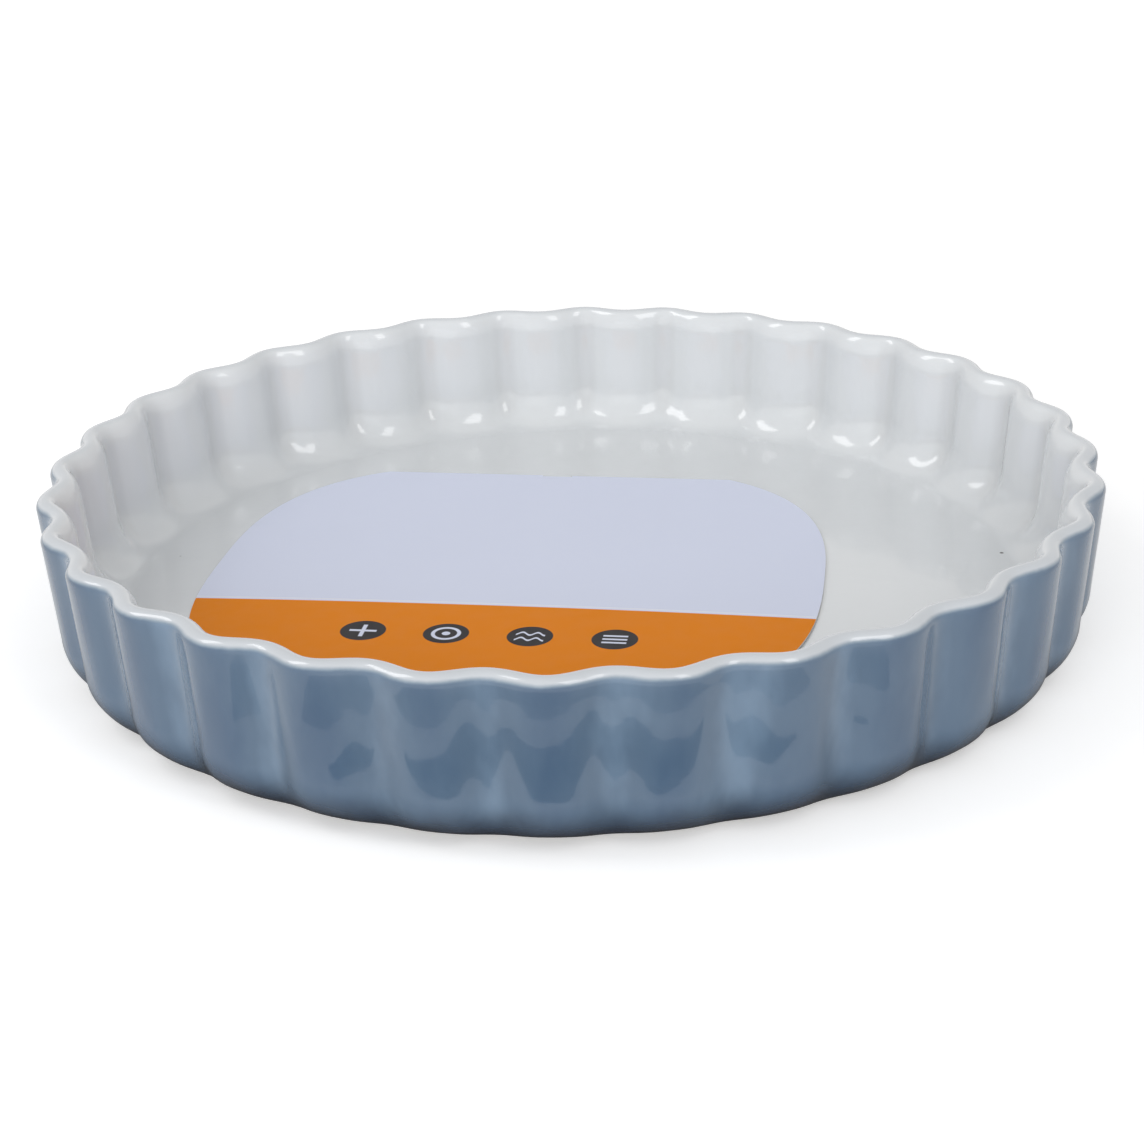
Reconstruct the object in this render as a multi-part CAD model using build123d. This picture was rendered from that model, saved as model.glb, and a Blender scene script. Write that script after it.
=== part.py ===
from build123d import *
import os
from math import acos, asin, cos, pi, radians, sin

os.makedirs("parts", exist_ok=True)

# Fluted quiche dish of glazed stoneware, with the loose card that lies on its floor.
# Millimetres, +Z up. The origin is the middle of the plane that the foot stands on.
# A crest of the fluting lies on the X and Y axes.

# Dish
overall_diameter = 280.0  # across two opposite crests, at the widest line of the lip
overall_height = 44.8
floor_height = 8.7  # of the inner floor above the table
lip_outer_radius = 2.75  # the lip's round towards the outer wall
lip_inner_width = 3.3  # the lip's rounding towards the inner wall, measured across
lip_inner_height = 7.0  # and downwards
wall_draft = 2.1  # how far the outer wall leans in, from the lip to the base rounding
base_rounding = 16.0
cove_radius = 13.0  # the hollow round from the inner wall to the floor

# Fluting
flute_count = 32
flute_depth = 3.55  # crest to valley, outside and on the lip
inner_flute_depth = 3.9  # the same on the inner wall
lip_flatness_share = 0.12  # how much flatter a crest is than its valley, on the lip's outer side
base_flatness_share = 0.2  # the same where the wall meets the base rounding
inner_flatness_share = -0.17  # inside it is the other way round: crests are creases, valleys broad

# Foot and underside
bare_foot_height = 1.4  # the glaze stops this high above the table
foot_ring_width = 8.0
well_depth = 2.5  # the underside is raised this far inside the foot ring
well_slope = 2.5  # the well's side leans in by this much

# Glaze
glaze_thickness = 0.6
glaze_border_angle = 33.0  # degrees round the lip, up from its widest line outside

# Card
card_side_gap = 19.48  # from the card's left edge to where the cove begins
card_back_share = 0.896  # of half the width, from the middle to the straight back edge
card_thickness = 0.5
card_squareness = 2.8  # the power in the card's rounded-square outline, where 2 is a circle
card_slit_width = 9.0
card_slit_depth = 0.8
card_clearance = 0.3
card_offset_x = -15.9
card_offset_y = 1.45
card_turn = -6.7  # degrees about Z

# How finely the curves are drawn
points_per_flute = 8
sections_per_quarter = 6
card_points = 36

# The crest line of the outer wall
lip_top_radius = overall_diameter / 2 - lip_outer_radius
lip_centre_height = overall_height - lip_outer_radius
rounding_centre_radius = overall_diameter / 2 - wall_draft - base_rounding
rounding_centre_height = base_rounding - glaze_thickness

# The crest line of the inner wall, which leans like the outer one
cove_centre_height = floor_height + cove_radius
draft_slope = wall_draft / (lip_centre_height - rounding_centre_height)
inner_wall_height = overall_height - lip_inner_height - cove_centre_height
cove_wall_radius = lip_top_radius - lip_inner_width - draft_slope * inner_wall_height
cove_centre_radius = cove_wall_radius - cove_radius

card_width = 2 * (cove_centre_radius + card_offset_x - card_side_gap)


def between(first, last, share):
    """The value that lies this share of the way from the first to the last."""
    return first + (last - first) * share


def fluted_section(crest_radius, height, depth, flatness):
    """The closed fluted curve of one level, as a wire."""
    count = flute_count * points_per_flute
    points = []
    for step in range(count):
        turn = 2 * pi * step / count
        wave = cos(flute_count * turn) - flatness * cos(2 * flute_count * turn)
        radius = crest_radius - depth / 2 * (1 - flatness - wave)
        points.append((radius * cos(turn), radius * sin(turn), height))
    return Wire([Edge.make_spline(points, periodic=True)])


def angles_between(first, last):
    """Evenly spaced angles for the sections of an arc, both ends included."""
    count = max(2, round(abs(last - first) / (pi / 2) * sections_per_quarter))
    return [between(first, last, step / count) for step in range(count + 1)]


def rounding_sections(inset, low_height, high_height):
    """The base rounding between two heights, where the fluting grows out of the round foot."""
    radius = base_rounding - inset
    low_angle = acos((rounding_centre_height - low_height) / radius)
    high_angle = acos((rounding_centre_height - high_height) / radius)
    return [
        fluted_section(
            rounding_centre_radius + radius * sin(angle),
            rounding_centre_height - radius * cos(angle),
            flute_depth * sin(angle) ** 2,
            base_flatness_share,
        )
        for angle in angles_between(low_angle, high_angle)
    ]


def lip_flute_depth(angle):
    """The fluting deepens from the lip's top to the inner wall."""
    return between(flute_depth, inner_flute_depth, min(0, cos(angle)) ** 2)


def lip_sections(width, height, inset, first, last):
    """Part of the lip's round: angle 0 is the outer wall, a quarter turn the top, half the inner wall."""
    return [
        fluted_section(
            lip_top_radius + (width - inset) * cos(angle),
            overall_height - height + (height - inset) * sin(angle),
            lip_flute_depth(angle),
            between(lip_flatness_share, inner_flatness_share, angle / pi),
        )
        for angle in angles_between(first, last)
    ]


def lip_outside_sections(inset):
    """The lip's outer side, from its widest line up to the border of the two glazes."""
    return lip_sections(lip_outer_radius, lip_outer_radius, inset, 0, radians(glaze_border_angle))


def lip_inside_sections(inset):
    """From the border of the two glazes over the top to the inner wall."""
    border = radians(glaze_border_angle)
    climb = lip_sections(lip_outer_radius, lip_outer_radius, inset, border, pi / 2)
    return climb + lip_sections(lip_inner_width, lip_inner_height, inset, pi / 2, pi)[1:]


def cove_sections(inset):
    """The cove, from the inner wall down to the floor, where the fluting runs out."""
    radius = cove_radius + inset
    return [
        fluted_section(
            cove_centre_radius + radius * cos(angle),
            cove_centre_height - radius * sin(angle),
            inner_flute_depth * cos(angle),
            inner_flatness_share,
        )
        for angle in angles_between(0, pi / 2)
    ]


def loft_faces(sections):
    """The faces of an open skin through the sections."""
    return Shell.make_loft(sections).faces()


def outside_faces(inset):
    """The skin of the outside, from the bare foot up to the border of the two glazes on the lip."""
    rounding = rounding_sections(inset, bare_foot_height, rounding_centre_height)
    lip = lip_outside_sections(inset)
    return loft_faces(rounding) + loft_faces([rounding[-1], lip[0]]) + loft_faces(lip)


def inside_faces(inset):
    """The skin from the border of the two glazes over the lip and down the inside, with the floor."""
    lip = lip_inside_sections(inset)
    cove = cove_sections(inset)
    faces = loft_faces(lip) + loft_faces([lip[-1], cove[0]]) + loft_faces(cove)
    return faces + [Face(cove[-1])]


def closed_solid(faces):
    """One solid from the faces that bound it."""
    return Solid(Shell(Face.sew_faces(faces)[0]))


def save(shape, name):
    """Writes one sub-part, named as a person would name it."""
    shape.label = name
    export_step(shape, f"parts/{name}.step")


def stoneware_body():
    """The fired clay: wall, lip, floor and the bare foot ring that the dish stands on."""
    foot = rounding_sections(glaze_thickness, 0, bare_foot_height)
    faces = [Face(foot[0])]
    faces += loft_faces(foot)
    faces += outside_faces(glaze_thickness)
    faces += inside_faces(glaze_thickness)
    body = closed_solid(faces)
    well_radius = rounding_centre_radius - foot_ring_width
    well = Cone(
        well_radius,
        well_radius - well_slope,
        well_depth,
        align=(Align.CENTER, Align.CENTER, Align.MIN),
    )
    return body - well


def lip_border_faces():
    """The narrow edge where both glazes end on the lip, from the surface to the clay."""
    return loft_faces([lip_inside_sections(inset)[0] for inset in (0, glaze_thickness)])


def foot_border_faces():
    """The narrow edge where the outer glaze ends above the bare foot."""
    span = (bare_foot_height, rounding_centre_height)
    return loft_faces([rounding_sections(inset, *span)[0] for inset in (0, glaze_thickness)])


def inner_glaze():
    """The off-white glaze over the lip, the inner wall and the floor."""
    return closed_solid(inside_faces(0) + inside_faces(glaze_thickness) + lip_border_faces())


def outer_glaze():
    """The blue-grey glaze on the outer wall, from the lip down to the bare foot."""
    faces = outside_faces(0) + outside_faces(glaze_thickness)
    return closed_solid(faces + lip_border_faces() + foot_border_faces())


def underside_glaze():
    """The round of glaze on the raised underside, inside the foot ring."""
    radius = rounding_centre_radius - foot_ring_width - well_slope
    disc = Cylinder(radius, glaze_thickness, align=(Align.CENTER, Align.CENTER, Align.MAX))
    return Pos(0, 0, well_depth) * disc


def information_card():
    """The thin card: a rounded square with a straight back edge and a short slit in it."""
    half_width = card_width / 2
    back = half_width * card_back_share
    power = 2 / card_squareness
    corner = asin(card_back_share ** (1 / power))
    points = []
    for step in range(card_points + 1):
        turn = (pi + 2 * corner) * step / card_points - pi - corner
        across = half_width * abs(cos(turn)) ** power * (1 if cos(turn) > 0 else -1)
        along = half_width * abs(sin(turn)) ** power * (1 if sin(turn) > 0 else -1)
        points.append((across, along))
    outline = Wire([Edge.make_spline(points), Edge.make_line(points[-1], points[0])])
    card = extrude(Face(outline), card_thickness)
    slit = Box(card_slit_width, 2 * card_slit_depth, 3 * card_thickness)
    card -= Pos(0, back, 0) * slit
    place = Pos(card_offset_x, card_offset_y, floor_height + card_clearance)
    return place * Rot(0, 0, card_turn) * card


save(stoneware_body(), "stoneware_body")
save(inner_glaze(), "inner_glaze")
save(outer_glaze(), "outer_glaze")
save(underside_glaze(), "underside_glaze")
save(information_card(), "information_card")
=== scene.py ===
from functools import reduce
from math import acos, cos, pi, radians, sin
from typing import NamedTuple

import bpy
import numpy as np
from mathutils import Matrix, Vector


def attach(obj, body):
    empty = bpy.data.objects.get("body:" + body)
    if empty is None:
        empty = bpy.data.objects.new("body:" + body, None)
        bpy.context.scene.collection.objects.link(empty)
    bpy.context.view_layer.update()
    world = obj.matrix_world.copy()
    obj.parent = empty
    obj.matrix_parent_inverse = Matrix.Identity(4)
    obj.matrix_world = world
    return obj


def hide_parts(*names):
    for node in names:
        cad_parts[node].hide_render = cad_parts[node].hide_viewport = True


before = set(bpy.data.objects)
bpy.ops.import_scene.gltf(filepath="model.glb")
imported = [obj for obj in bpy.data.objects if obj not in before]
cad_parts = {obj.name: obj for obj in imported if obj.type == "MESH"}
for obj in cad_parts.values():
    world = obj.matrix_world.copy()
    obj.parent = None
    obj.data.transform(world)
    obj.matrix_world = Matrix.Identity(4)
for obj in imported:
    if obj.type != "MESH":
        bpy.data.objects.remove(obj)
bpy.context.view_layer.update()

# Lengths here are in millimetres, and this scale makes them Blender's metres
MM = 0.001

# The part's sizes, the same as in the CAD
OVERALL_DIAMETER = 280.0
OVERALL_HEIGHT = 44.8
FLOOR_HEIGHT = 8.7
LIP_OUTER_RADIUS = 2.75
LIP_INNER_WIDTH = 3.3
LIP_INNER_HEIGHT = 7.0
WALL_DRAFT = 2.1
BASE_ROUNDING = 16.0
COVE_RADIUS = 13.0
FLUTE_COUNT = 32
FLUTE_DEPTH = 3.55
INNER_FLUTE_DEPTH = 3.9
LIP_FLATNESS = 0.12
BASE_FLATNESS = 0.2
INNER_FLATNESS = -0.17
BARE_FOOT_HEIGHT = 1.4
GLAZE_THICKNESS = 0.6
CARD_PLACE = (-15.9, 1.45)
CARD_TURN = -6.7  # in degrees

LIP_TOP_RADIUS = OVERALL_DIAMETER / 2 - LIP_OUTER_RADIUS
LIP_CENTRE_HEIGHT = OVERALL_HEIGHT - LIP_OUTER_RADIUS
ROUNDING_RADIUS = OVERALL_DIAMETER / 2 - WALL_DRAFT - BASE_ROUNDING
ROUNDING_HEIGHT = BASE_ROUNDING - GLAZE_THICKNESS
COVE_HEIGHT = FLOOR_HEIGHT + COVE_RADIUS
DRAFT_SLOPE = WALL_DRAFT / (LIP_CENTRE_HEIGHT - ROUNDING_HEIGHT)
INNER_WALL_HEIGHT = OVERALL_HEIGHT - LIP_INNER_HEIGHT - COVE_HEIGHT
COVE_CENTRE = LIP_TOP_RADIUS - LIP_INNER_WIDTH - DRAFT_SLOPE * INNER_WALL_HEIGHT - COVE_RADIUS

# The lip's two roundings, across and downwards
OUTER_ROUND = (LIP_OUTER_RADIUS, LIP_OUTER_RADIUS)
INNER_ROUND = (LIP_INNER_WIDTH, LIP_INNER_HEIGHT)

# Turns round the lip, in degrees, from its widest line outside to the inner wall
WIDEST_TURN = 0.0
BORDER_TURN = 33.0  # where the two glazes meet
BORDER_GAP = 0.7  # from there to the next ring on either side
TOP_TURN = 90.0
INNER_WALL_TURN = 180.0
ROUNDING_TURN = -30.0  # stands for the base rounding, which is below the lip

# How finely the glaze is drawn: in many steps on its front, which is seen, and in few on its back
POINTS_PER_FLUTE = 28
AROUND = FLUTE_COUNT * POINTS_PER_FLUTE
FRONT = {
    "rounding": 18,
    "outer_wall": 8,
    "lip_outside": 6,
    "lip_climb": 8,
    "lip_drop": 16,
    "inner_wall": 6,
    "cove": 16,
    "floor_shares": (0.97, 0.9, 0.7, 0.4),
}
BACK = {
    "rounding": 8,
    "outer_wall": 2,
    "lip_outside": 2,
    "lip_climb": 3,
    "lip_drop": 4,
    "inner_wall": 2,
    "cove": 7,
    "floor_shares": (0.5,),
}
TURNS = 2 * pi * np.arange(AROUND) / AROUND
WAVE = np.cos(FLUTE_COUNT * TURNS)


def between(first, last, share):
    """The value that lies this share of the way from the first to the last."""
    return first + (last - first) * share


def evenly(first, last, steps):
    """Evenly spaced values, both ends included."""
    return [between(first, last, step / steps) for step in range(steps + 1)]


def add_object(name, data):
    """A new object in the scene."""
    made = bpy.data.objects.new(name, data)
    bpy.context.scene.collection.objects.link(made)
    return made


def add_mesh(name, points, faces):
    """A new mesh object from points in millimetres."""
    mesh = bpy.data.meshes.new(name)
    mesh.from_pydata((np.array(points) * MM).tolist(), [], faces)
    return add_object(name, mesh)


# The glaze's surfaces, drawn as rings

class Ring(NamedTuple):
    """One level of a surface: what the fluted curve is like there, and the turn round the lip."""

    crest_radius: float
    height: float
    flute_depth: float
    flatness: float
    lip_turn: float


def rounding_rings(inset, steps):
    """The base rounding, from the bare foot up to the wall."""
    radius = BASE_ROUNDING - inset
    low = acos((ROUNDING_HEIGHT - BARE_FOOT_HEIGHT) / radius)
    return [
        Ring(
            ROUNDING_RADIUS + radius * sin(angle),
            ROUNDING_HEIGHT - radius * cos(angle),
            FLUTE_DEPTH * sin(angle) ** 2,
            BASE_FLATNESS,
            ROUNDING_TURN,
        )
        for angle in evenly(low, pi / 2, steps)
    ]


def lip_ring(width, height, inset, turn):
    """One ring of a rounding of the lip."""
    angle = radians(turn)
    return Ring(
        LIP_TOP_RADIUS + (width - inset) * cos(angle),
        OVERALL_HEIGHT - height + (height - inset) * sin(angle),
        between(FLUTE_DEPTH, INNER_FLUTE_DEPTH, min(0, cos(angle)) ** 2),
        between(LIP_FLATNESS, INNER_FLATNESS, turn / INNER_WALL_TURN),
        turn,
    )


def lip_rings(width, height, inset, first, last, steps):
    """Part of a rounding of the lip, from one turn to another."""
    return [lip_ring(width, height, inset, turn) for turn in evenly(first, last, steps)]


def wall_rings(first, last, steps):
    """The straight wall between two rings, both left out."""
    return [Ring(*(between(*ends, step / steps) for ends in zip(first, last))) for step in range(1, steps)]


def cove_rings(inset, steps):
    """The cove, from the inner wall down to the floor."""
    radius = COVE_RADIUS + inset
    return [
        Ring(
            COVE_CENTRE + radius * cos(angle),
            COVE_HEIGHT - radius * sin(angle),
            INNER_FLUTE_DEPTH * cos(angle),
            INNER_FLATNESS,
            INNER_WALL_TURN,
        )
        for angle in evenly(0, pi / 2, steps)
    ]


def floor_rings(edge, shares):
    """Round rings inside the floor's edge, at these shares of its radius."""
    return [edge._replace(crest_radius=edge.crest_radius * share, flute_depth=0) for share in shares]


def outside_rings(inset, steps):
    """From the bare foot up to the border of the two glazes."""
    rounding = rounding_rings(inset, steps["rounding"])
    lip = lip_rings(*OUTER_ROUND, inset, WIDEST_TURN, BORDER_TURN - BORDER_GAP, steps["lip_outside"])
    wall = wall_rings(rounding[-1], lip[0], steps["outer_wall"])
    return rounding + wall + lip + [lip_ring(*OUTER_ROUND, inset, BORDER_TURN)]


def inside_rings(inset, steps):
    """From the border of the two glazes over the lip, down the wall and in along the floor."""
    border = lip_ring(*OUTER_ROUND, inset, BORDER_TURN)
    climb = lip_rings(*OUTER_ROUND, inset, BORDER_TURN + BORDER_GAP, TOP_TURN, steps["lip_climb"])
    drop = lip_rings(*INNER_ROUND, inset, TOP_TURN, INNER_WALL_TURN, steps["lip_drop"])[1:]
    cove = cove_rings(inset, steps["cove"])
    wall = wall_rings(drop[-1], cove[0], steps["inner_wall"])
    return [border] + climb + drop + wall + cove + floor_rings(cove[-1], steps["floor_shares"])


def ring_points(ring):
    """The fluted curve of one ring."""
    wave = WAVE - ring.flatness * np.cos(2 * FLUTE_COUNT * TURNS)
    radius = ring.crest_radius - ring.flute_depth / 2 * (1 - ring.flatness - wave)
    return np.stack([radius * np.cos(TURNS), radius * np.sin(TURNS), np.full(AROUND, ring.height)], 1)


def ring_corners(index):
    """The numbers of one ring's points, and those of the points after them."""
    place = np.arange(AROUND)
    return index * AROUND + place, index * AROUND + (place + 1) % AROUND


def band_faces(first, second):
    """The faces between two rings."""
    here, after = ring_corners(first)
    far_here, far_after = ring_corners(second)
    return np.stack([here, after, far_after, far_here], 1).tolist()


def fan_faces(index, middle):
    """The faces between a ring and one point in the middle."""
    here, after = ring_corners(index)
    return np.stack([here, after, np.full(AROUND, middle)], 1).tolist()


def sharpen(mesh, ring_indices):
    """Makes the edges along these rings sharp."""
    ends = np.zeros(2 * len(mesh.edges), np.int32)
    mesh.edges.foreach_get("vertices", ends)
    first, second = (ends.reshape(-1, 2) // AROUND).T
    sharp = (first == second) & np.isin(first, ring_indices)
    mesh.attributes.new("sharp_edge", "BOOLEAN", "EDGE").data.foreach_set("value", sharp)


def face_outwards(mesh):
    """Turns all faces out of the coat, where the highest one looks up."""
    highest = max(mesh.polygons, key=lambda face: face.center.z)
    if highest.normal.z < 0:
        mesh.flip_normals()


def coat(name, front, back, closed_floor):
    """A closed, smooth coat of glaze between its front rings and its back rings.

    The last rings of the two sides are joined, as the first ones are. With a closed floor, both are
    filled in to the dish's middle instead.
    """
    rings = front + back[::-1]
    points = np.concatenate([ring_points(ring) for ring in rings])
    lip_turn = np.repeat([ring.lip_turn for ring in rings], AROUND)
    crest = np.concatenate([WAVE * ring.flute_depth / FLUTE_DEPTH for ring in rings])
    last_rings = (len(front) - 1, len(front))
    sharp_rings = [0, len(rings) - 1]
    joined = [(index, (index + 1) % len(rings)) for index in range(len(rings))]
    if closed_floor:
        joined.remove(last_rings)
        middles = [(0, 0, rings[index].height) for index in last_rings]
        points = np.concatenate([points, middles])
        lip_turn = np.append(lip_turn, [INNER_WALL_TURN] * len(middles))
        crest = np.append(crest, [0] * len(middles))
    else:
        sharp_rings += last_rings
    faces = [face for pair in joined for face in band_faces(*pair)]
    if closed_floor:
        front_middle = len(rings) * AROUND
        faces += fan_faces(last_rings[0], front_middle)
        faces += [face[::-1] for face in fan_faces(last_rings[1], front_middle + 1)]
    piece = add_mesh(name, points, faces)
    mesh = piece.data
    for label, values in (("lip_turn", lip_turn), ("crest", crest)):
        mesh.attributes.new(label, "FLOAT", "POINT").data.foreach_set("value", values.astype(np.float32))
    mesh.polygons.foreach_set("use_smooth", [True] * len(mesh.polygons))
    sharpen(mesh, sharp_rings)
    face_outwards(mesh)
    return piece


# Materials

NOISE_RANGE = (0.2, 0.8)  # where most of the noise lies

# The Mix node's sockets for colours, which it has beside others of the same names
MIX_SHARE, MIX_FIRST, MIX_SECOND = 0, 6, 7
MIX_RESULT = 2


class Nodes:
    """Adds shader nodes to a tree."""

    def __init__(self, tree):
        self.tree = tree

    def node(self, kind):
        return self.tree.nodes.new("ShaderNode" + kind)

    def put(self, socket, value):
        """Links an output to a socket, or sets a number, a vector or a colour on it."""
        if isinstance(value, bpy.types.NodeSocket):
            self.tree.links.new(value, socket)
        elif socket.type == "RGBA":
            socket.default_value = (*value, 1)
        else:
            socket.default_value = value

    def math(self, operation, *values):
        node = self.node("Math")
        node.operation = operation
        for socket, value in zip(node.inputs, values):
            self.put(socket, value)
        return node.outputs[0]

    def either(self, *values):
        """The largest of the values."""
        return reduce(lambda first, second: self.math("MAXIMUM", first, second), values)

    def both(self, first, second):
        return self.math("MULTIPLY", first, second)

    def remap(self, value, low, high, to_low=0.0, to_high=1.0):
        """A smooth climb from to_low at low to to_high at high."""
        node = self.node("MapRange")
        node.interpolation_type = "SMOOTHSTEP"
        for socket, number in zip(node.inputs, (value, low, high, to_low, to_high)):
            self.put(socket, number)
        return node.outputs[0]

    def seen_by(self, *kinds):
        """1 for rays of these kinds, and 0 for others."""
        outputs = self.node("LightPath").outputs
        return self.either(*(outputs[f"Is {kind} Ray"] for kind in kinds))


class Paint(Nodes):
    """One procedural material, in the part's own coordinates."""

    def __init__(self, name):
        self.material = bpy.data.materials.new(name)
        self.material.use_nodes = True
        super().__init__(self.material.node_tree)
        self.shader = self.tree.nodes["Principled BSDF"]
        self.coords = self.node("TexCoord").outputs["Object"]

    def shade(self, **values):
        """Sets the shader's inputs, whose names are given with _ for a space."""
        for name, value in values.items():
            self.put(self.shader.inputs[name.replace("_", " ")], value)

    def attribute(self, name):
        node = self.node("Attribute")
        node.attribute_name = name
        return node.outputs["Fac"]

    def split(self, vector):
        """A vector's X, Y and Z."""
        node = self.node("SeparateXYZ")
        self.put(node.inputs[0], vector)
        return node.outputs

    def height(self):
        """Above the plane that the foot stands on."""
        return self.split(self.coords)["Z"]

    def distance(self, place=(0, 0, 0)):
        """From a place, which is the middle of the foot's plane unless one is given."""
        node = self.node("VectorMath")
        node.operation = "DISTANCE"
        self.put(node.inputs[0], self.coords)
        self.put(node.inputs[1], [length * MM for length in place])
        return node.outputs["Value"]

    def mix(self, share, first, second):
        """A colour this share of the way from the first to the second."""
        node = self.node("Mix")
        node.data_type = "RGBA"
        self.put(node.inputs[MIX_SHARE], share)
        self.put(node.inputs[MIX_FIRST], first)
        self.put(node.inputs[MIX_SECOND], second)
        return node.outputs[MIX_RESULT]

    def noise(self, size, detail=2.0, roughness=0.5, stretch=(1, 1, 1)):
        """Noise from 0 to 1 with features of about this size."""
        mapping = self.node("Mapping")
        self.put(mapping.inputs["Vector"], self.coords)
        self.put(mapping.inputs["Scale"], [share / (size * MM) for share in stretch])
        node = self.node("TexNoise")
        self.put(node.inputs["Vector"], mapping.outputs[0])
        for name, value in (("Scale", 1.0), ("Detail", detail), ("Roughness", roughness)):
            self.put(node.inputs[name], value)
        return node.outputs["Fac"]

    def patches(self, size, low, high):
        """A level from low to high, in patches of about this size."""
        return self.remap(self.noise(size, detail=3), *NOISE_RANGE, low, high)

    def relief(self, size, depth, over=None, detail=2.0, roughness=0.5):
        """Bumps of about this size and depth, over another relief if one is given."""
        node = self.node("Bump")
        self.put(node.inputs["Distance"], depth * MM)
        self.put(node.inputs["Height"], self.noise(size, detail, roughness))
        if over is not None:
            self.put(node.inputs["Normal"], over)
        return node.outputs[0]


# Colours, in linear light
WHITE = (1, 1, 1)
BLACK = (0, 0, 0)
OFF_WHITE = (0.694, 0.717, 0.735)
OFF_WHITE_SHADE = (0.65, 0.672, 0.688)
# Painted shade for the inner wall's creases
CREASE_SHADE = (0.60, 0.615, 0.625)
LIP_WHITE = (0.53, 0.557, 0.588)
THIN_BLUE = (0.20, 0.265, 0.33)
BLUE_PALE = (0.150, 0.225, 0.318)
BLUE = (0.086, 0.140, 0.213)
BLUE_DEEP = (0.058, 0.105, 0.178)
# Painted shade near the foot
BLUE_FOOT_SHADE = (0.018, 0.024, 0.042)
SPECK = (0.05, 0.04, 0.035)
CLAY = (0.50, 0.44, 0.36)
CLAY_DARK = (0.33, 0.27, 0.21)
# Painted shadow where the foot stands
CLAY_FOOT_SHADOW = (0.10, 0.085, 0.07)
CARD_WHITE = (0.70, 0.74, 0.885)
CARD_PALE = (0.86, 0.87, 0.92)
CARD_ORANGE = (0.80, 0.235, 0.004)
CARD_GREY = (0.035, 0.032, 0.034)
CARD_CORE = (0.66, 0.64, 0.60)

# The glaze's gloss
GLOSS = {"IOR": 1.5, "Coat_IOR": 1.5, "Coat_Roughness": 0.05}
GLOSS_PATCH = 14.0

# Where the glaze changes round the lip, in degrees
BLUE_TURN = 16.0  # it is all blue out from here
WHITE_TURN = 47.0  # and all white in from here
THIN_SHARES = (0.25, 0.5)  # of the way between them, where the white sets in and the thin blue is full
BORDER_WANDER = 8.0  # how far all of these shift to either side
BORDER_PATCH = 7.0
LIP_WHITE_TURNS = (80.0, 125.0)  # between these, the thin glaze on the lip thickens
CREASE_SHADE_TURNS = (110.0, 170.0)  # between these, the painted shade in the inner wall's creases sets in
CREASE_SHADE_SHARE = 0.55

# The glaze's patches and specks
WHITE_PATCH = 38.0
SPECKS = ((-112.0, 18.8, 8.0), (118.2, 12.2, 8.3))
SPECK_RADIUS = 0.85
SPECK_CORE_SHARE = 0.6
BLUE_PATCH = 26.0
BLUE_PATCH_STRETCH = (1, 1, 0.45)  # they are upright
CREST_SHARE = 0.16  # how much deeper the blue is on a crest
FOOT_SHADE_HEIGHTS = (16.0, 4.0)  # between these the blue darkens downwards: painted shade where the base stands in shadow and mirrors the shadowed floor
FOOT_SHADE_SHARE = 0.95
FOOT_SHADE_WANDER = 6.0  # how far down these shift
FOOT_SHADE_PATCH = 12.0
RIPPLE_SIZE = 9.0
RIPPLE_DEPTH = 0.05
SKIN_SIZE = 1.6
SKIN_DEPTH = 0.004


def white_glaze(paint, turn):
    """Off-white, with painted shade in the inner wall's creases, greyer on the lip, where it is thin, and
    with two specks.
    """
    white = paint.mix(paint.noise(WHITE_PATCH, detail=3), OFF_WHITE, OFF_WHITE_SHADE)
    # Painted shade: the inner wall is darker in its creases, where less light reaches
    crest = paint.remap(paint.attribute("crest"), low=0.5, high=1.0)
    crease_shade = paint.both(crest, paint.remap(turn, *CREASE_SHADE_TURNS, 0, CREASE_SHADE_SHARE))
    white = paint.mix(crease_shade, white, CREASE_SHADE)
    white = paint.mix(paint.remap(turn, *LIP_WHITE_TURNS, 1, 0), white, LIP_WHITE)
    for place in SPECKS:
        edge = SPECK_RADIUS * MM
        speck = paint.remap(paint.distance(place), edge, edge * SPECK_CORE_SHARE)
        white = paint.mix(speck, white, SPECK)
    return white


def blue_glaze(paint):
    """Blue-grey, deeper on the crests, paler in the valleys, and darkened near the foot with painted shade.
    """
    patch = paint.noise(BLUE_PATCH, detail=4, roughness=0.55, stretch=BLUE_PATCH_STRETCH)
    tone = paint.math("MULTIPLY_ADD", paint.attribute("crest"), -CREST_SHARE, patch)
    blue = paint.mix(paint.remap(tone, low=0.2, high=0.5), BLUE_DEEP, BLUE)
    blue = paint.mix(paint.remap(tone, low=0.5, high=0.8), blue, BLUE_PALE)
    # Painted shade: the blue darkens towards the foot, which stands in shadow and mirrors the shadowed
    # floor
    height = paint.math("MULTIPLY_ADD", paint.noise(FOOT_SHADE_PATCH, detail=3), FOOT_SHADE_WANDER * MM, paint.height())
    high, low = FOOT_SHADE_HEIGHTS
    return paint.mix(paint.remap(height, high * MM, low * MM, 0, FOOT_SHADE_SHARE), blue, BLUE_FOOT_SHADE)


def glaze_material(name):
    """Both glazes in one colouring, so that they run into each other on the lip."""
    paint = Paint(name)
    patch = paint.noise(BORDER_PATCH, detail=3)
    wander = paint.math("MULTIPLY_ADD", patch, 2 * BORDER_WANDER, -BORDER_WANDER)
    turn = paint.math("ADD", paint.attribute("lip_turn"), wander)
    first_white, full_thin = (between(BLUE_TURN, WHITE_TURN, share) for share in THIN_SHARES)
    colour = paint.mix(paint.remap(turn, BLUE_TURN, full_thin), blue_glaze(paint), THIN_BLUE)
    colour = paint.mix(paint.remap(turn, first_white, WHITE_TURN), colour, white_glaze(paint, turn))
    skin = paint.relief(SKIN_SIZE, SKIN_DEPTH, over=paint.relief(RIPPLE_SIZE, RIPPLE_DEPTH))
    paint.shade(
        Base_Color=colour,
        Roughness=paint.patches(GLOSS_PATCH, low=0.16, high=0.26),
        Coat_Weight=0.9,
        Normal=skin,
        Coat_Normal=skin,
        **GLOSS,
    )
    return paint.material


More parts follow.
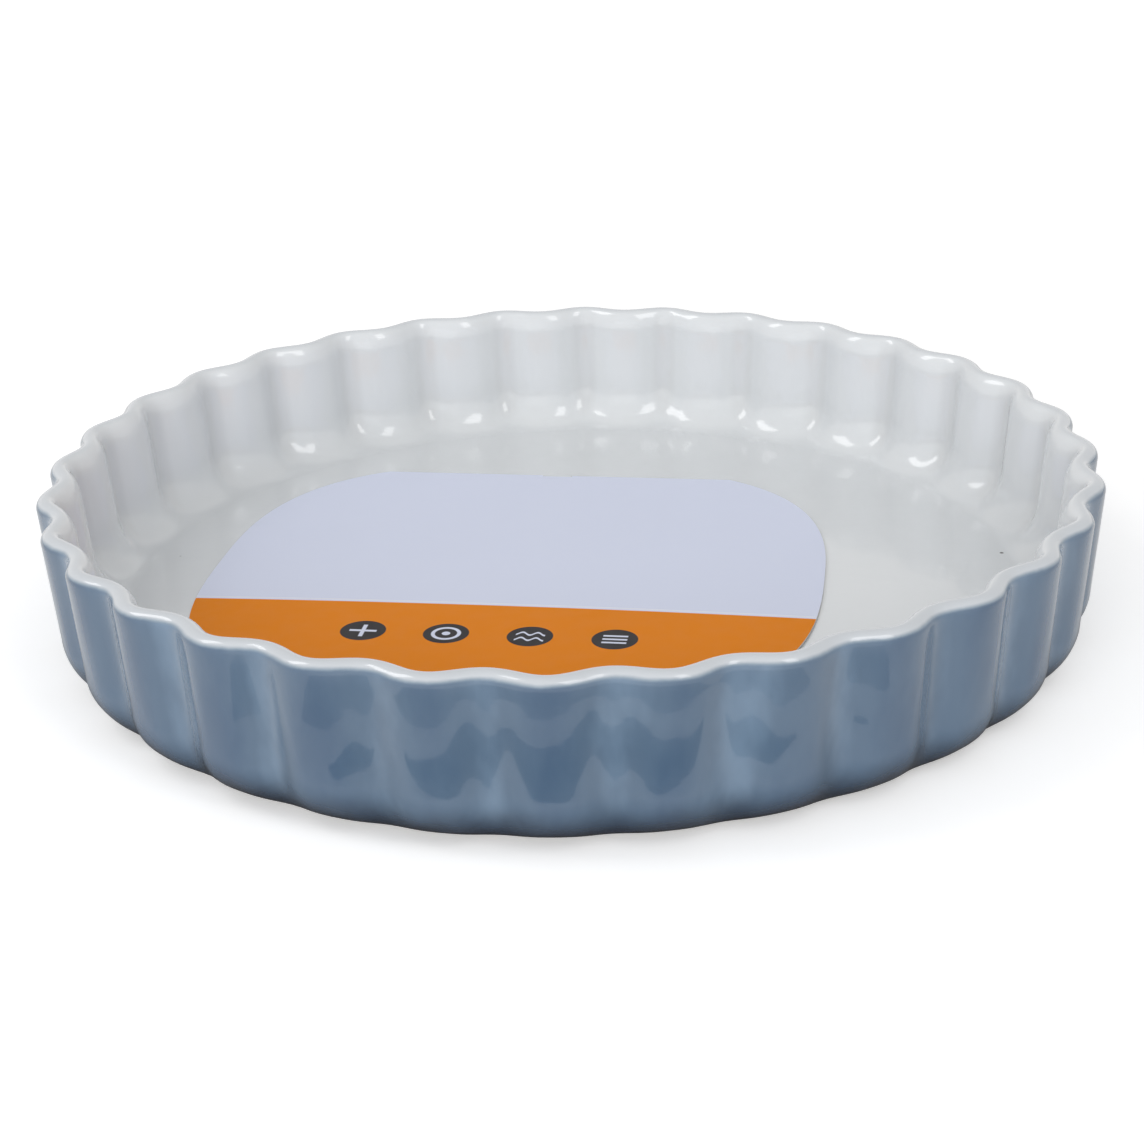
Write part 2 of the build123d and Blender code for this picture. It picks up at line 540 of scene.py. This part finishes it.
def underside_material():
    """Off-white glaze, less even than inside the dish."""
    paint = Paint("underside_glaze")
    skin = paint.relief(size=5, depth=0.03, detail=3)
    paint.shade(
        Base_Color=paint.mix(paint.noise(size=30, detail=3), OFF_WHITE, OFF_WHITE_SHADE),
        Roughness=paint.patches(GLOSS_PATCH, low=0.2, high=0.32),
        Coat_Weight=0.7,
        Normal=skin,
        Coat_Normal=skin,
        **GLOSS,
    )
    return paint.material


# The bare foot darkens downwards between these heights: painted shadow where it stands on the floor
FOOT_SHADOW_HEIGHTS = (1.6, 0.3)
FOOT_SHADOW_SHARES = (0.25, 0.9)


def clay_material():
    """Bare fired clay: cloudy, with dark grains, and darkened with painted shadow where it stands."""
    paint = Paint("bare_clay")
    colour = paint.mix(paint.noise(size=6, detail=4, roughness=0.6), CLAY, CLAY_DARK)
    grains = paint.remap(paint.noise(size=0.9, detail=3, roughness=0.7), low=0.56, high=0.7)
    colour = paint.mix(grains, colour, CLAY_DARK)
    high, low = FOOT_SHADOW_HEIGHTS
    # Painted shadow: the clay darkens towards the plane the foot stands on
    foot_shadow = paint.remap(paint.height(), high * MM, low * MM, *FOOT_SHADOW_SHARES)
    paint.shade(
        Base_Color=paint.mix(foot_shadow, colour, CLAY_FOOT_SHADOW),
        Roughness=paint.patches(size=3, low=0.78, high=0.95),
        IOR=1.5,
        Specular_IOR_Level=0.3,
        Normal=paint.relief(size=0.5, depth=0.05, detail=4, roughness=0.7),
    )
    return paint.material


# The card's print, from the card's middle: across it, and along it towards its back edge
PRINT_BLUR = 0.12
BAND_EDGE = -22.4  # the orange band lies in front of this
BAND_BOW = 1.2  # how far its edge has bowed at this distance from the middle
BAND_BOW_REACH = 70.0
PALE_LINE = -21.2
PALE_LINE_SHARE = 0.5
PALE_LINE_HALF_WIDTH = 0.35
WHITE_FADE_SHARE = 0.97
ORANGE_FADE_SHARE = 0.93

# The round signs on the band, and the marks in them
SIGNS_ACROSS = (-33.0, -11.0, 11.0, 33.0)
SIGNS_ALONG = -41.0
SIGN_RADIUS = 6.0
PLUS_REACH = 3.6
PLUS_HALF_WIDTH = 0.55
TARGET_RADIUS = 3.4
TARGET_HALF_WIDTH = 0.5
TARGET_DOT_RADIUS = 1.1
LINE_HALF_WIDTH = 0.45
WAVES_ALONG = (-1.6, 1.6)
WAVE_REACH = 3.8
WAVE_SWELL = 0.8
WAVE_PITCH = 1.6  # radians for each millimetre
BARS_ALONG = (-2.0, 0.0, 2.0)
BAR_REACH = 3.2


class CardPaint(Paint):
    """Draws on the card, in millimetres from its middle. Each shape is 1 inside and 0 outside."""

    def __init__(self, name):
        super().__init__(name)
        mapping = self.node("Mapping")
        mapping.vector_type = "TEXTURE"
        x, y = CARD_PLACE
        self.put(mapping.inputs["Vector"], self.coords)
        self.put(mapping.inputs["Location"], (x * MM, y * MM, 0))
        self.put(mapping.inputs["Rotation"], (0, 0, radians(CARD_TURN)))
        self.put(mapping.inputs["Scale"], (MM, MM, 1))
        place = self.split(mapping.outputs[0])
        self.across, self.along = place["X"], place["Y"]

    def below(self, value, edge):
        return self.remap(value, edge + PRINT_BLUR, edge - PRINT_BLUR)

    def off(self, value, centre):
        return self.math("ABSOLUTE", self.math("SUBTRACT", value, centre))

    def near(self, value, centre, reach):
        return self.below(self.off(value, centre), reach)

    def away(self, x, y):
        """The distance from a place."""
        squares = [self.math("POWER", self.off(*pair), 2.0) for pair in ((self.across, x), (self.along, y))]
        return self.math("SQRT", self.math("ADD", *squares))

    def disc(self, x, y, radius):
        return self.below(self.away(x, y), radius)

    def ring(self, x, y, radius, half_width):
        return self.near(self.away(x, y), radius, half_width)

    def bar(self, x, y, half_width, half_height):
        return self.both(self.near(self.across, x, half_width), self.near(self.along, y, half_height))


def plus_mark(paint, x, y):
    upright = paint.bar(x, y, PLUS_HALF_WIDTH, PLUS_REACH)
    return paint.either(upright, paint.bar(x, y, PLUS_REACH, PLUS_HALF_WIDTH))


def target_mark(paint, x, y):
    dot = paint.disc(x, y, TARGET_DOT_RADIUS)
    return paint.either(dot, paint.ring(x, y, TARGET_RADIUS, TARGET_HALF_WIDTH))


def waves_mark(paint, x, y):
    swell = paint.math("SINE", paint.both(paint.across, WAVE_PITCH))
    level = paint.math("SUBTRACT", paint.along, paint.both(swell, WAVE_SWELL))
    lines = paint.either(*(paint.near(level, y + rise, LINE_HALF_WIDTH) for rise in WAVES_ALONG))
    return paint.both(lines, paint.near(paint.across, x, WAVE_REACH))


def bars_mark(paint, x, y):
    return paint.either(*(paint.bar(x, y + rise, BAR_REACH, LINE_HALF_WIDTH) for rise in BARS_ALONG))


def card_print(paint):
    """A white field, a fine pale line, and a band of orange at the front with four round signs."""
    ink = paint.noise(size=45)
    white = paint.mix(ink, CARD_WHITE, [level * WHITE_FADE_SHARE for level in CARD_WHITE])
    orange = paint.mix(ink, CARD_ORANGE, [level * ORANGE_FADE_SHARE for level in CARD_ORANGE])
    bow = paint.both(paint.both(paint.across, paint.across), -BAND_BOW / BAND_BOW_REACH ** 2)
    level = paint.math("SUBTRACT", paint.along, bow)
    pale = paint.both(paint.near(level, PALE_LINE, PALE_LINE_HALF_WIDTH), PALE_LINE_SHARE)
    colour = paint.mix(paint.below(level, BAND_EDGE), paint.mix(pale, white, CARD_PALE), orange)
    discs = [paint.disc(x, SIGNS_ALONG, SIGN_RADIUS) for x in SIGNS_ACROSS]
    marks = (plus_mark, target_mark, waves_mark, bars_mark)
    drawn = [mark(paint, x, SIGNS_ALONG) for mark, x in zip(marks, SIGNS_ACROSS)]
    colour = paint.mix(paint.either(*discs), colour, CARD_GREY)
    return paint.mix(paint.either(*drawn), colour, CARD_WHITE)


def card_material():
    """Printed card, with bare board on its cut edges."""
    paint = CardPaint("printed_card")
    facing_up = paint.split(paint.node("NewGeometry").outputs["Normal"])["Z"]
    cut = paint.remap(facing_up, low=0.4, high=0.2)
    curl = paint.relief(size=60, depth=0.4)
    paint.shade(
        Base_Color=paint.mix(cut, card_print(paint), CARD_CORE),
        Roughness=paint.patches(size=5, low=0.38, high=0.5),
        IOR=1.45,
        Specular_IOR_Level=0.08,
        Normal=paint.relief(size=0.8, depth=0.006, over=curl, detail=3, roughness=0.6),
    )
    return paint.material


def give(node, material):
    """Gives a CAD node its material."""
    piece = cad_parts[node]
    for slot in piece.material_slots:
        slot.material = material
    if not piece.material_slots:
        piece.data.materials.append(material)


# Pieces
for node, slot_name, rings, closed_floor in (
    ("outer_glaze", "blue_grey_glaze", outside_rings, False),
    ("inner_glaze", "off_white_glaze", inside_rings, True),
):
    piece = coat(node + "_coat", rings(0, FRONT), rings(GLAZE_THICKNESS, BACK), closed_floor)
    piece.data.materials.append(glaze_material(slot_name))
    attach(piece, "dish")
    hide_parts(node)

give("stoneware_body", clay_material())
give("underside_glaze", underside_material())
give("information_card", card_material())

# The floor and the cards on it
MATT = {"Roughness": 0.9, "Specular_IOR_Level": 0.0}
FLOOR_SIZE = 12000.0
FLOOR_DROP = 0.05  # so that it doesn't share the foot's plane
FLOOR_COLOUR = (0.93, 0.93, 0.93)
FLOOR_LIFT = (0.34, 1.0)  # its own light, for the camera alone, near the dish and far off
FLOOR_LIFT_REACH = (260.0, 900.0)  # how far from the dish's middle those are
CARDS_MIDDLE = 8.0
CARDS_LIFT = 0.8
LINE_STEPS = 28
CIRCLE_STEPS = 96


def make_floor():
    """A plain pale floor that the camera sees as white, with the dish's shadow."""
    half = FLOOR_SIZE / 2
    corners = [(-half, -half), (half, -half), (half, half), (-half, half)]
    floor = add_mesh("floor", [(x, y, -FLOOR_DROP) for x, y in corners], [(0, 1, 2, 3)])
    paint = Paint("floor")
    near, far = FLOOR_LIFT_REACH
    lift = paint.remap(paint.distance(), near * MM, far * MM, *FLOOR_LIFT)
    paint.shade(
        Base_Color=FLOOR_COLOUR,
        Emission_Color=WHITE,
        Emission_Strength=paint.both(paint.seen_by("Camera"), lift),
        **MATT,
    )
    floor.data.materials.append(paint.material)


def dark_card(name, near_line, far_line, tones, reach):
    """A dark card between two lines of as many points, seen only in the glaze's reflections.

    Its tone goes from the first to the last between two distances from the dish's middle.
    """
    count = len(near_line)
    points = [(x, y, CARDS_LIFT) for x, y in near_line + far_line]
    faces = [(k, k + 1, count + k + 1, count + k) for k in range(count - 1)]
    card = add_mesh(name, points, faces)
    paint = Paint(name)
    near, far = reach
    tone = paint.remap(paint.distance(), near * MM, far * MM, *tones)
    paint.shade(Base_Color=paint.mix(tone, BLACK, WHITE), **MATT)
    card.data.materials.append(paint.material)
    for kind in ("camera", "diffuse", "transmission", "volume_scatter", "shadow"):
        setattr(card, "visible_" + kind, False)


def bowed_line(middle, half_width, bow):
    """Points across the front, whose ends come nearer to the dish by the bow."""
    shares = evenly(-1, 1, LINE_STEPS)
    return [(CARDS_MIDDLE + half_width * share, middle + bow * share ** 2) for share in shares]


def circle_line(radius):
    """Points round the dish, the last one on the first."""
    return [(radius * cos(angle), radius * sin(angle)) for angle in evenly(0, 2 * pi, CIRCLE_STEPS)]


make_floor()
dark_card(
    "near_card",
    bowed_line(middle=-157, half_width=72, bow=8),
    bowed_line(middle=-178, half_width=72, bow=27),
    tones=(0.10, 0.10),
    reach=(180, 181),
)
dark_card(
    "far_card",
    bowed_line(middle=-188, half_width=104, bow=42),
    bowed_line(middle=-330, half_width=150, bow=0),
    tones=(0.42, 0.9),
    reach=(190, 280),
)
# Painted shadow: a dark ring round the foot, seen only in the glaze's reflections, which darkens the
# shadowed floor that the base mirrors
dark_card(
    "foot_shadow_card",
    circle_line(radius=118),
    circle_line(radius=156),
    tones=(0.18, 1.0),
    reach=(128, 156),
)

# Light
AMBIENT = 0.55
LAMP_AIM = (0, 0, 20)


def make_world():
    """Plain light from all round, and white where the camera, a mirroring surface or glass sees it."""
    world = bpy.data.worlds.new("studio")
    world.use_nodes = True
    bpy.context.scene.world = world
    nodes = Nodes(world.node_tree)
    background = world.node_tree.nodes["Background"]
    seen = nodes.seen_by("Camera", "Glossy", "Transmission")
    nodes.put(background.inputs["Color"], WHITE)
    nodes.put(background.inputs["Strength"], nodes.remap(seen, 0, 1, AMBIENT, 1))


def softbox(name, turn, climb, distance, size, power, mirrored=True):
    """A lamp at a turn to the right from the front and a climb from the floor, both in degrees."""
    flat = distance * cos(radians(climb))
    height = distance * sin(radians(climb))
    place = Vector((flat * sin(radians(turn)), -flat * cos(radians(turn)), height)) * MM
    lamp = bpy.data.lights.new(name, "AREA")
    lamp.shape = "RECTANGLE"
    lamp.size, lamp.size_y = (length * MM for length in size)
    lamp.energy = power
    holder = add_object(name, lamp)
    holder.location = place
    holder.rotation_euler = (Vector(LAMP_AIM) * MM - place).to_track_quat("-Z", "Y").to_euler()
    holder.visible_glossy = mirrored


make_world()
softbox("right_key", turn=41, climb=50, distance=1400, size=(400, 700), power=2.3)
softbox("left_key", turn=-85, climb=50, distance=1400, size=(400, 700), power=2.7)
softbox("front_fill", turn=-12, climb=17, distance=2200, size=(1800, 900), power=24.0, mirrored=False)

# Camera
CAMERA_PLACE = (25.25, -559.34, 248.24)
CAMERA_AIM = (-1.33, 23.55, 0.0)
CAMERA_ROLL = -1.868  # in degrees
CAMERA_LENS = 70.046
CAMERA_SENSOR = 36.0
CAMERA_CLIP = 10.0


def make_camera():
    """The photograph's view: from a place towards another, and rolled a little."""
    camera = bpy.data.cameras.new("camera")
    camera.sensor_width = CAMERA_SENSOR
    camera.lens = CAMERA_LENS
    camera.clip_start = CAMERA_CLIP * MM
    place = Vector(CAMERA_PLACE) * MM
    forward = (Vector(CAMERA_AIM) * MM - place).normalized()
    level_right = forward.cross(Vector((0, 0, 1))).normalized()
    level_up = level_right.cross(forward)
    roll = radians(CAMERA_ROLL)
    right = level_right * cos(roll) + level_up * sin(roll)
    turned = Matrix((right, right.cross(forward), -forward)).transposed().to_4x4()
    view = add_object("camera", camera)
    view.matrix_world = Matrix.Translation(place) @ turned
    bpy.context.scene.camera = view


make_camera()
bpy.context.scene.view_settings.view_transform = "Standard"
